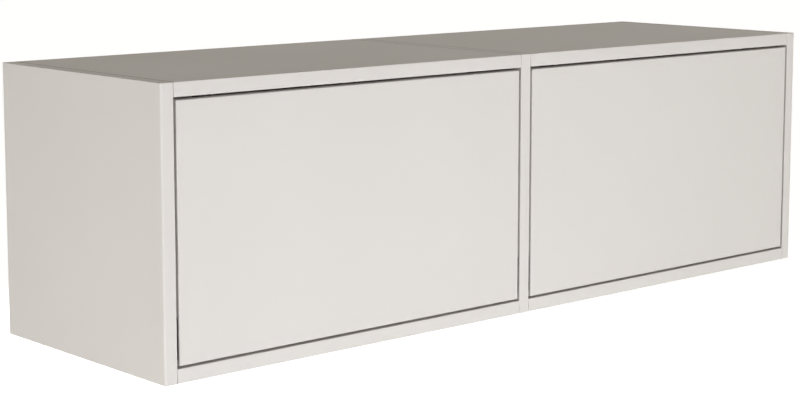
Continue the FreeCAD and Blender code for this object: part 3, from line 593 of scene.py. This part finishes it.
def ends_of(points):
    """The two ends of a turned solid: the middle of each, and its radius there."""
    low = Vector([min(point[i] for point in points) for i in range(3)])
    high = Vector([max(point[i] for point in points) for i in range(3)])
    extent = high - low
    # a turned solid is as wide one way as the other, and its axis is the third way
    spare = [abs(extent[(i + 1) % 3] - extent[(i + 2) % 3]) for i in range(3)]
    axis = spare.index(min(spare))
    centre = (low + high) / 2
    ends = []
    for place in (low[axis], high[axis]):
        middle = centre.copy()
        middle[axis] = place
        rim = [point for point in points if abs(point[axis] - place) < SAME_LEVEL]
        ends.append((middle, max((point - middle).length for point in rim)))
    return ends


def bake(piece, body, replaced):
    """Turn a piece made by its node tree into a plain mesh that rides on its body."""
    depsgraph = bpy.context.evaluated_depsgraph_get()
    mesh = bpy.data.meshes.new_from_object(piece.evaluated_get(depsgraph), depsgraph=depsgraph)
    piece.modifiers.clear()
    piece.data = mesh
    mesh.name = piece.name
    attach(piece, body)
    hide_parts(*replaced)


def point_cloud(name, places, attributes):
    """A mesh of bare points, with an attribute for each thing that its node tree reads."""
    mesh = bpy.data.meshes.new(name)
    mesh.from_pydata([tuple(place) for place in places], [], [])
    for label, kind, key, values in attributes:
        layer = mesh.attributes.new(label, kind, "POINT")
        for item, value in zip(layer.data, values):
            setattr(item, key, value)
    piece = bpy.data.objects.new(name, mesh)
    bpy.context.scene.collection.objects.link(piece)
    return piece


def run_tree(piece, tree, values):
    """Put a node tree on a piece, with its inputs set by their names."""
    modifier = piece.modifiers.new(tree.name, "NODES")
    modifier.node_group = tree
    for item in tree.interface.items_tree:
        if item.item_type == "SOCKET" and item.in_out == "INPUT" and item.name in values:
            modifier[item.identifier] = values[item.name]


def lifted(build, geometry, height):
    """Geometry moved up by a height."""
    shift = build.node("ShaderNodeCombineXYZ", {"Z": height})
    inputs = {"Geometry": geometry, "Translation": shift.outputs[0]}
    return build.node("GeometryNodeTransform", inputs).outputs[0]


def profile(build, height, radius, shares):
    """Levels for turned_stack, from shares of a height and of a radius."""
    return [
        (build.math("MULTIPLY", height, up), build.math("MULTIPLY", radius, out))
        for up, out in shares
    ]


def turned_stack(build, levels, segments=24):
    """A closed turned solid from the radius at each height, lowest first."""
    pieces = []
    for (low_z, low_radius), (high_z, high_radius) in zip(levels, levels[1:]):
        depth = build.math("SUBTRACT", high_z, low_z)
        cone = build.node(
            "GeometryNodeMeshCone",
            {
                "Vertices": segments,
                "Radius Top": high_radius,
                "Radius Bottom": low_radius,
                "Depth": depth,
            },
        )
        pieces.append(lifted(build, cone.outputs[0], low_z))
    union = build.node("GeometryNodeMeshBoolean", operation="UNION")
    for piece in pieces:
        build.tree.links.new(piece, union.inputs["Mesh 2"])
    return union.outputs[0]


def cross_cut(build, head, top_z, given):
    """A turned head with the cross recess of its driver cut in its top."""
    twice = build.math("MULTIPLY", given.outputs["Recess Depth"], 2.0)
    boxes = []
    sides = (given.outputs["Recess Length"], given.outputs["Recess Width"])
    for first, second in (sides, sides[::-1]):
        size = build.node("ShaderNodeCombineXYZ", {"X": first, "Y": second, "Z": twice})
        box = build.node("GeometryNodeMeshCube", {"Size": size.outputs[0]})
        boxes.append(lifted(build, box.outputs[0], top_z))
    cut = build.node("GeometryNodeMeshBoolean", {"Mesh 1": head}, operation="DIFFERENCE")
    for box in boxes:
        build.tree.links.new(box, cut.inputs["Mesh 2"])
    return cut.outputs[0]


def named(build, label, kind):
    """An attribute of the points."""
    node = build.node("GeometryNodeInputNamedAttribute", {"Name": label}, data_type=kind)
    return node.outputs[0]


def named_output(node, label):
    """The output of a node that has this name and is in use."""
    return next(socket for socket in node.outputs if socket.name == label and socket.enabled)


def turn_to(build, vector):
    """The rotation that stands a template up along a vector."""
    node = build.node("FunctionNodeAlignRotationToVector", {"Vector": vector}, axis="Z")
    return node.outputs[0]


def finish_tree(build, geometry, material, result):
    """Realize the instances, set their material and end the tree."""
    real = build.node("GeometryNodeRealizeInstances", {"Geometry": geometry})
    painted = build.node(
        "GeometryNodeSetMaterial", {"Geometry": real.outputs[0], "Material": material}
    )
    build.feed(result.inputs["Geometry"], painted.outputs[0])


SCREW_KINDS = ("pan", "sunk", "flat")
SCREW_SIZES = (
    "Pan Radius",
    "Pan Height",
    "Sunk Radius",
    "Flat Radius",
    "Flat Height",
    "Shank Radius",
    "Recess Length",
    "Recess Width",
    "Recess Depth",
)
# each level of a head, as shares of its height and of its radius
PAN_SHARES = ((0.0, 1.0), (0.35, 1.0), (0.7, 0.88), (0.92, 0.66), (1.0, 0.4))
FLAT_SHARES = ((0.0, 1.0), (0.75, 1.0), (1.0, 0.92))
SUNK_SHARE = 0.95  # a head whose end has over this share of its widest radius is a sunk one


def screw_tree():
    """Screws on points. Each point says how its head faces, its form, and its shank's length."""
    inputs = [("Geometry", GEOMETRY, None)]
    inputs += [(label, FLOAT, None) for label in SCREW_SIZES]
    inputs += [("Seed", "NodeSocketInt", None), ("Material", "NodeSocketMaterial", None)]
    build, given, result = group(
        "Driven screws", "GeometryNodeTree", inputs, [("Geometry", GEOMETRY, None)]
    )
    pan_height = given.outputs["Pan Height"]
    flat_height = given.outputs["Flat Height"]
    sunk_radius = given.outputs["Sunk Radius"]
    shank_radius = given.outputs["Shank Radius"]
    pan = profile(build, pan_height, given.outputs["Pan Radius"], PAN_SHARES)
    neck = build.math("SUBTRACT", shank_radius, sunk_radius)
    sunk = [(neck, shank_radius), (0.0, sunk_radius)]
    flat = profile(build, flat_height, given.outputs["Flat Radius"], FLAT_SHARES)
    # in the order of SCREW_KINDS
    heads = [
        cross_cut(build, turned_stack(build, levels), top_z, given)
        for levels, top_z in ((pan, pan_height), (sunk, 0.0), (flat, flat_height))
    ]
    outward = named(build, "outward", "FLOAT_VECTOR")
    kind = named(build, "kind", "INT")
    spin = build.node(
        "FunctionNodeRandomValue",
        {"Min": 0.0, "Max": math.pi / 2, "Seed": given.outputs["Seed"]},
        data_type="FLOAT",
    )
    spin_turn = build.node("ShaderNodeCombineXYZ", {"Z": named_output(spin, "Value")})
    turned = build.node(
        "FunctionNodeRotateRotation",
        {"Rotation": turn_to(build, outward), "Rotate By": spin_turn.outputs[0]},
        rotation_space="LOCAL",
    ).outputs[0]
    joined = build.node("GeometryNodeJoinGeometry")
    for number, head in enumerate(heads):
        # inputs 2 and 3 are the two whole numbers
        wanted = build.node(
            "FunctionNodeCompare", {2: kind, 3: number}, data_type="INT", operation="EQUAL"
        )
        placed_heads = build.node(
            "GeometryNodeInstanceOnPoints",
            {
                "Points": given.outputs["Geometry"],
                "Selection": wanted.outputs[0],
                "Instance": head,
                "Rotation": turned,
            },
        )
        build.tree.links.new(placed_heads.outputs[0], joined.inputs[0])
    # a bar 1 m long that hangs down from the point, and is then scaled to the shank's length
    bar = build.node(
        "GeometryNodeMeshCylinder", {"Vertices": 16, "Radius": shank_radius, "Depth": 1.0}
    )
    hung = build.node(
        "GeometryNodeTransform", {"Geometry": bar.outputs[0], "Translation": (0.0, 0.0, -0.5)}
    )
    stretch = build.node(
        "ShaderNodeCombineXYZ", {"X": 1.0, "Y": 1.0, "Z": named(build, "reach", "FLOAT")}
    )
    shanks = build.node(
        "GeometryNodeInstanceOnPoints",
        {
            "Points": given.outputs["Geometry"],
            "Instance": hung.outputs[0],
            "Rotation": turned,
            "Scale": stretch.outputs[0],
        },
    )
    build.tree.links.new(shanks.outputs[0], joined.inputs[0])
    finish_tree(build, joined.outputs[0], given.outputs["Material"], result)
    return build.tree


def screw_points(node, kind):
    """The head's end, the way it faces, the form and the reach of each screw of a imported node."""
    found = []
    for points in solids_in(node):
        (tip, _), (head, head_radius) = sorted(ends_of(points), key=lambda end: end[1])
        outward = (head - tip).normalized()
        widest = max(
            ((point - head) - outward * (point - head).dot(outward)).length for point in points
        )
        form = kind or ("sunk" if head_radius > SUNK_SHARE * widest else "pan")
        found.append((head, outward, form, (head - tip).length))
    return found


PAD_FOOT = 0.3  # share of a pad's height below its dome
PAD_STEPS = 6  # levels of the dome
PAD_CROWN = 0.6  # steps that are left out at the top, which makes it flat there


def pad_tree():
    """Domed pads on points. Each point says how its pad faces."""
    build, given, result = group(
        "Domed pads",
        "GeometryNodeTree",
        [
            ("Geometry", GEOMETRY, None),
            ("Radius", FLOAT, None),
            ("Height", FLOAT, None),
            ("Material", "NodeSocketMaterial", None),
        ],
        [("Geometry", GEOMETRY, None)],
    )
    angles = [math.pi / 2 * step / (PAD_STEPS + PAD_CROWN) for step in range(PAD_STEPS + 1)]
    top = math.sin(angles[-1])
    shares = [(0.0, 1.0)]
    for angle in angles:
        shares.append((PAD_FOOT + (1 - PAD_FOOT) * math.sin(angle) / top, math.cos(angle)))
    levels = profile(build, given.outputs["Height"], given.outputs["Radius"], shares)
    dome = turned_stack(build, levels, segments=32)
    pads = build.node(
        "GeometryNodeInstanceOnPoints",
        {
            "Points": given.outputs["Geometry"],
            "Instance": dome,
            "Rotation": turn_to(build, named(build, "outward", "FLOAT_VECTOR")),
        },
    )
    finish_tree(build, pads.outputs[0], given.outputs["Material"], result)
    return build.tree


# ---- Operators -------------------------------------------------------------------------
class CONSOLE_OT_boards(bpy.types.Operator):
    """Lacquer the sides, divider, tops and bottoms, and coat the back panels"""

    bl_idname = "console.boards"
    bl_label = "Boards and backs"

    def execute(self, context):
        dress("side_", "divider", "top_", "bottom_", "back_panel_")
        return {"FINISHED"}


class CONSOLE_OT_flaps(bpy.types.Operator):
    """Lacquer the two flaps"""

    bl_idname = "console.flaps"
    bl_label = "Flaps"

    def execute(self, context):
        dress("flap_left", "flap_right")
        return {"FINISHED"}


class CONSOLE_OT_hinges(bpy.types.Operator):
    """Plate the leaves and washers of the pivot hinges"""

    bl_idname = "console.hinges"
    bl_label = "Pivot hinges"

    def execute(self, context):
        dress("cabinet_leaves_", "flap_leaves_", "hinge_washers_")
        return {"FINISHED"}


class CONSOLE_OT_stays(bpy.types.Operator):
    """Finish the cases, shafts, arms, links, rivets, brackets and clips of the stays"""

    bl_idname = "console.stays"
    bl_label = "Soft-down stays"

    def execute(self, context):
        dress("stay_")
        return {"FINISHED"}


class CONSOLE_OT_latches(bpy.types.Operator):
    """Finish the housings, plungers, magnets and strike plates of the push latches"""

    bl_idname = "console.latches"
    bl_label = "Push latches"

    def execute(self, context):
        dress("latch_housing_", "latch_plunger_", "strike_plate_")
        dress("latch_magnet_", finish="ground_magnet")
        return {"FINISHED"}


class CONSOLE_OT_hangers(bpy.types.Operator):
    """Finish the hangers, their hooks and the wall plates"""

    bl_idname = "console.hangers"
    bl_label = "Hangers and wall plates"

    def execute(self, context):
        dress("hanger_", "wall_plate_")
        return {"FINISHED"}


class CONSOLE_OT_fittings(bpy.types.Operator):
    """Finish the grommets, stops, cam housings, cam bolts and dowels"""

    bl_idname = "console.fittings"
    bl_label = "Fittings"

    def execute(self, context):
        dress("cable_grommet_", "flap_stops_", "cam_", "dowels")
        return {"FINISHED"}


class CONSOLE_OT_screws(bpy.types.Operator):
    """Make the screws of the cabinet and of each flap, with their cross recesses"""

    bl_idname = "console.screws"
    bl_label = "Screws"

    def execute(self, context):
        sizes = context.scene.console_screws
        tree = screw_tree()
        values = {
            label: getattr(sizes, label.lower().replace(" ", "_")) for label in SCREW_SIZES
        }
        values["Seed"] = sizes.seed
        values["Material"] = finish_of("bright_steel")
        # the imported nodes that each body's screws stand for, and their form where it is known
        sources = {
            "cabinet": (
                ("fitting_screws", None),
                ("hinge_screws", "sunk"),
                ("hanger_adjusters", "flat"),
            ),
            "flap_left": (("flap_screws_left", None),),
            "flap_right": (("flap_screws_right", None),),
        }
        heights = {"pan": sizes.pan_height, "sunk": 0.0, "flat": sizes.flat_height}
        for body, nodes in sources.items():
            screws = [screw for node, kind in nodes for screw in screw_points(node, kind)]
            heads, ways, forms, reaches = zip(*screws)
            raised = [heights[form] for form in forms]
            seats = [head - way * rise for head, way, rise in zip(heads, ways, raised)]
            kinds = [SCREW_KINDS.index(form) for form in forms]
            shanks = [reach - rise for reach, rise in zip(reaches, raised)]
            attributes = [
                ("outward", "FLOAT_VECTOR", "vector", ways),
                ("kind", "INT", "value", kinds),
                ("reach", "FLOAT", "value", shanks),
            ]
            piece = point_cloud("screws_" + body, seats, attributes)
            run_tree(piece, tree, values)
            bake(piece, body, [node for node, _ in nodes])
        return {"FINISHED"}


class CONSOLE_OT_pads(bpy.types.Operator):
    """Make the soft domed pads that the shut flaps rest against"""

    bl_idname = "console.pads"
    bl_label = "Stop pads"

    def execute(self, context):
        pads = [ends_of(points) for points in solids_in("stop_pads")]
        places = [rear for _, (rear, _) in pads]
        outward = [Vector((0, -1, 0))] * len(places)
        piece = point_cloud("soft_pads", places, [("outward", "FLOAT_VECTOR", "vector", outward)])
        # every pad has the same size
        (front, _), (rear, radius) = pads[-1]
        values = {
            "Radius": radius,
            "Height": rear.y - front.y,
            "Material": finish_of("rubber_pad"),
        }
        run_tree(piece, pad_tree(), values)
        bake(piece, "cabinet", ["stop_pads"])
        return {"FINISHED"}


# ---- Stage -----------------------------------------------------------------------------
WHITE = (1.0, 1.0, 1.0)
ROOM_TINT = (1.0, 0.91, 0.77)
FRONT_TINT = (1.0, 1.0, 0.985)
LOW_TINT = (0.96, 0.975, 1.045)
OVER_TINT = (1.03, 1.0, 0.935)
CEILING_TINT = (1.0, 0.71, 0.33)
FAR_SPREAD = 20  # degrees over which the light of a far lamp comes

FLOOR_REACH = 30.0
FLOOR_TONE = (0.8, 0.79, 0.77)  # where the floor only gives its light back to the console
FLOOR_SHADE = (0.5, 0.5, 0.5)  # where it is seen, the part that takes the shadow
FLOOR_GLOW = 0.87  # where it is seen, the part that makes it white

CAMERA_PLACE = (-1.826, -2.162, 0.286)
CAMERA_DOWN = 7.32  # degrees below level
CAMERA_ASIDE = 41.53  # degrees to the right of straight ahead, which is +Y
CAMERA_SHIFT = -0.08


def seen_directly(build):
    """1 for rays from the camera, off a shiny surface or through glass."""
    path = build.node("ShaderNodeLightPath")
    camera_or_gloss = build.math(
        "MAXIMUM", path.outputs["Is Camera Ray"], path.outputs["Is Glossy Ray"]
    )
    return build.math("MAXIMUM", camera_or_gloss, path.outputs["Is Transmission Ray"])


def floor_material():
    """A pale floor that reads as white, and still takes the console's shadow."""
    material = bpy.data.materials.new("pale_floor")
    build = cleared(material)
    plain = build.node("ShaderNodeBsdfDiffuse", {"Color": (*FLOOR_TONE, 1.0)})
    shade = build.node("ShaderNodeBsdfDiffuse", {"Color": (*FLOOR_SHADE, 1.0)})
    glow = build.node("ShaderNodeEmission", {"Color": (*WHITE, 1.0), "Strength": FLOOR_GLOW})
    white = build.node("ShaderNodeAddShader", {0: shade.outputs[0], 1: glow.outputs[0]})
    mix = build.node(
        "ShaderNodeMixShader", {0: seen_directly(build), 1: plain.outputs[0], 2: white.outputs[0]}
    )
    output = build.node("ShaderNodeOutputMaterial")
    build.feed(output.inputs["Surface"], mix.outputs[0])
    return material


def light_world(level):
    """Even room light, with a white background where it is seen directly."""
    world = bpy.data.worlds.new("studio")
    build = cleared(world)
    room = build.node("ShaderNodeBackground", {"Color": (*ROOM_TINT, 1.0), "Strength": level})
    white = build.node("ShaderNodeBackground", {"Color": (*WHITE, 1.0), "Strength": 1.0})
    mix = build.node(
        "ShaderNodeMixShader", {0: seen_directly(build), 1: room.outputs[0], 2: white.outputs[0]}
    )
    output = build.node("ShaderNodeOutputWorld")
    build.feed(output.inputs["Surface"], mix.outputs[0])
    bpy.context.scene.world = world


def lay_floor(level):
    """A wide floor at a height."""
    mesh = bpy.data.meshes.new("floor")
    sides = ((-1, -1), (1, -1), (1, 1), (-1, 1))
    corners = [(x * FLOOR_REACH, y * FLOOR_REACH, level) for x, y in sides]
    mesh.from_pydata(corners, [], [(0, 1, 2, 3)])
    mesh.materials.append(floor_material())
    floor = bpy.data.objects.new("floor", mesh)
    bpy.context.scene.collection.objects.link(floor)


def hang_lamp(name, kind, strength, tint, facing):
    """A lamp of one kind that shines along a vector: the lamp and its object."""
    lamp = bpy.data.lights.new(name, kind)
    lamp.energy = strength
    lamp.color = tint
    holder = bpy.data.objects.new(name, lamp)
    holder.rotation_euler = facing.to_track_quat("-Z", "Y").to_euler()
    bpy.context.scene.collection.objects.link(holder)
    return lamp, holder


def area_lamp(name, power, tint, place, aim, size):
    """A soft rectangular lamp that faces a point."""
    lamp, holder = hang_lamp(name, "AREA", power, tint, Vector(aim) - Vector(place))
    lamp.shape = "RECTANGLE"
    lamp.size, lamp.size_y = size
    holder.location = place
    holder.visible_camera = False


def far_lamp(name, strength, tint, towards):
    """A soft light so far away, in one direction, that it lights every place alike."""
    lamp, _ = hang_lamp(name, "SUN", strength, tint, -Vector(towards))
    lamp.angle = math.radians(FAR_SPREAD)


def set_camera(lens):
    """The camera, from the left of the front and a little above the console."""
    camera = bpy.data.cameras.new("camera")
    camera.lens = lens
    camera.shift_y = CAMERA_SHIFT
    holder = bpy.data.objects.new("camera", camera)
    holder.location = CAMERA_PLACE
    holder.rotation_euler = (math.radians(90 - CAMERA_DOWN), 0, math.radians(-CAMERA_ASIDE))
    bpy.context.scene.collection.objects.link(holder)
    bpy.context.scene.camera = holder


class CONSOLE_OT_stage(bpy.types.Operator):
    """Set the floor, the lamps and the camera"""

    bl_idname = "console.stage"
    bl_label = "Stage"

    def execute(self, context):
        settings = context.scene.console_stage
        lay_floor(PACKED_LOW.z - settings.floor_drop)
        light_world(settings.sky)
        area_lamp(
            "front",
            settings.front,
            FRONT_TINT,
            place=(1.1, -3.0, -0.4),
            aim=(0.1, -0.36, -0.12),
            size=(1.4, 1.0),
        )
        area_lamp(
            "low",
            settings.low,
            LOW_TINT,
            place=(-0.5, -2.0, -0.69),
            aim=(-0.3, -0.36, -0.15),
            size=(1.2, 0.5),
        )
        area_lamp(
            "side",
            settings.side,
            WHITE,
            place=(-2.4, -0.55, -0.55),
            aim=(-0.6, -0.2, -0.14),
            size=(1.0, 0.7),
        )
        far_lamp("over", settings.over, OVER_TINT, towards=(1.0, 0.15, 0.33))
        far_lamp("ceiling", settings.ceiling, CEILING_TINT, towards=(0.0, 0.0, 1.0))
        area_lamp(
            "rear",
            settings.rear,
            WHITE,
            place=(0.0, 2.2, -0.35),
            aim=(0.0, 0.0, -0.12),
            size=(1.0, 0.4),
        )
        set_camera(settings.lens)
        context.scene.view_settings.view_transform = "Standard"
        return {"FINISHED"}


# ---- Panel and registration ------------------------------------------------------------
OPERATORS = (
    CONSOLE_OT_boards,
    CONSOLE_OT_flaps,
    CONSOLE_OT_hinges,
    CONSOLE_OT_stays,
    CONSOLE_OT_latches,
    CONSOLE_OT_hangers,
    CONSOLE_OT_fittings,
    CONSOLE_OT_screws,
    CONSOLE_OT_pads,
    CONSOLE_OT_stage,
)
GROUPS = {
    "console_finishes": ConsoleFinishes,
    "console_screws": ConsoleScrews,
    "console_stage": ConsoleStage,
}


class CONSOLE_PT_panel(bpy.types.Panel):
    """The console's pieces and settings"""

    bl_idname = "CONSOLE_PT_panel"
    bl_label = "Floating Media Console"
    bl_space_type = "VIEW_3D"
    bl_region_type = "UI"
    bl_category = "Console"

    def draw(self, context):
        for operator in OPERATORS:
            self.layout.operator(operator.bl_idname)
        for name, settings in GROUPS.items():
            box = self.layout.box()
            for label in settings.__annotations__:
                box.prop(getattr(context.scene, name), label)


def register():
    """Register the settings, the operators and the panel."""
    for name, settings in GROUPS.items():
        bpy.utils.register_class(settings)
        setattr(bpy.types.Scene, name, PointerProperty(type=settings))
    for operator in OPERATORS:
        bpy.utils.register_class(operator)
    bpy.utils.register_class(CONSOLE_PT_panel)


def unregister():
    """Undo register."""
    bpy.utils.unregister_class(CONSOLE_PT_panel)
    for operator in reversed(OPERATORS):
        bpy.utils.unregister_class(operator)
    for name, settings in reversed(GROUPS.items()):
        delattr(bpy.types.Scene, name)
        bpy.utils.unregister_class(settings)


def main():
    """Make every piece and the stage."""
    register()
    for operator in OPERATORS:
        family, name = operator.bl_idname.split(".")
        getattr(getattr(bpy.ops, family), name)()


if __name__ == "__main__":
    main()
